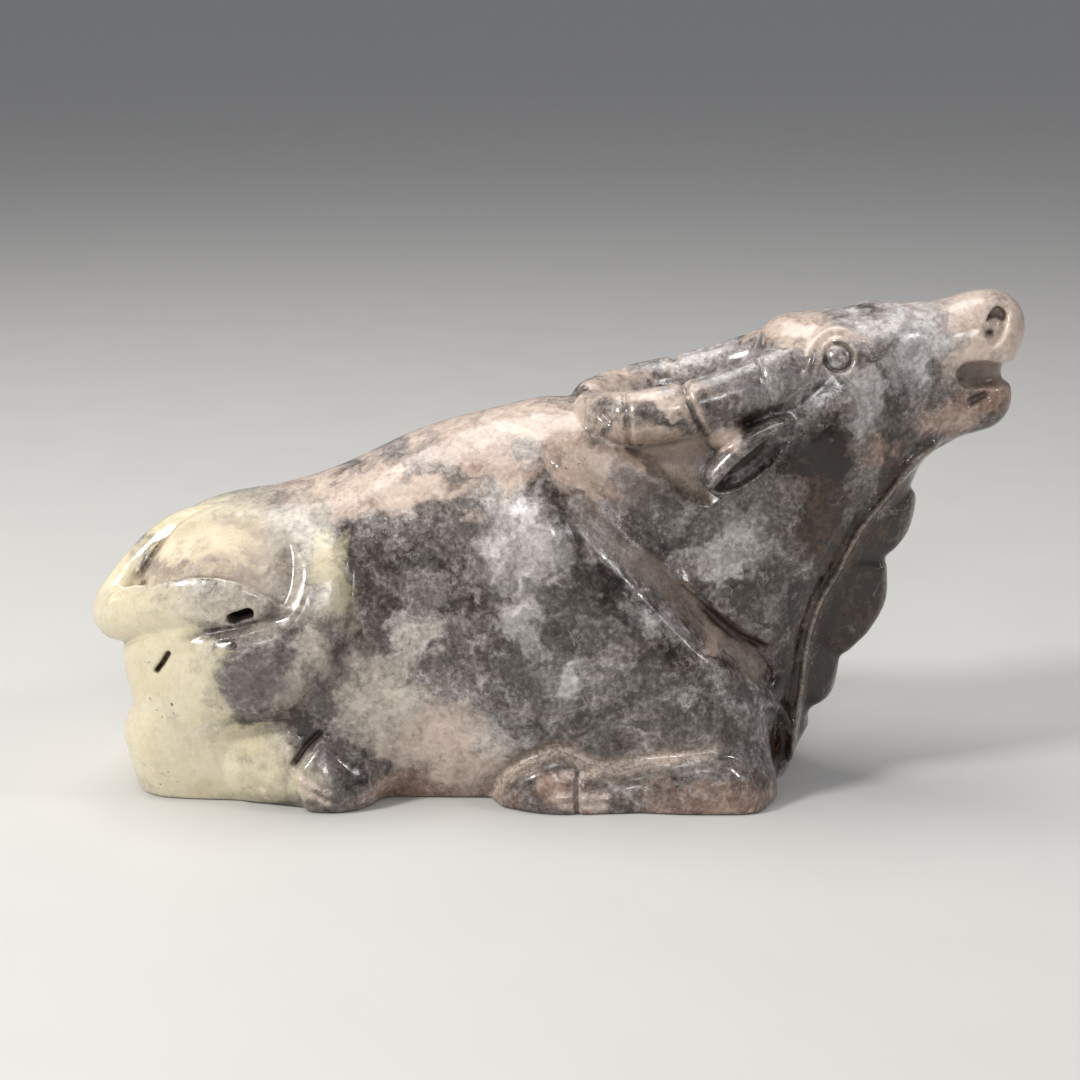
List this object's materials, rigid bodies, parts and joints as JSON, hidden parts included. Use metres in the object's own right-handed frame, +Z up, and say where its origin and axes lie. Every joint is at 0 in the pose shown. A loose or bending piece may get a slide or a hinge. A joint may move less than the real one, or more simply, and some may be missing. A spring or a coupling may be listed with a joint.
{
  "type": "water buffalo figurine",
  "caption": "Carved hardstone water buffalo lying on folded legs, head raised, horns swept back along the neck and tail curled onto the thigh; stands on its flat underside.",
  "frame": {"origin": "middle of the bounding box at the level of the flat underside", "axes": "+X towards the muzzle, +Y towards the animal's left flank, +Z up; the tail's tuft lies on the -Y side"},
  "size_m": [0.16, 0.0544, 0.0848],
  "materials": {
    "stone": "polished mottled grey and cream hardstone"
  },
  "bodies": {
    "root": {"buffalo": "stone"}
  },
  "joints": []
}
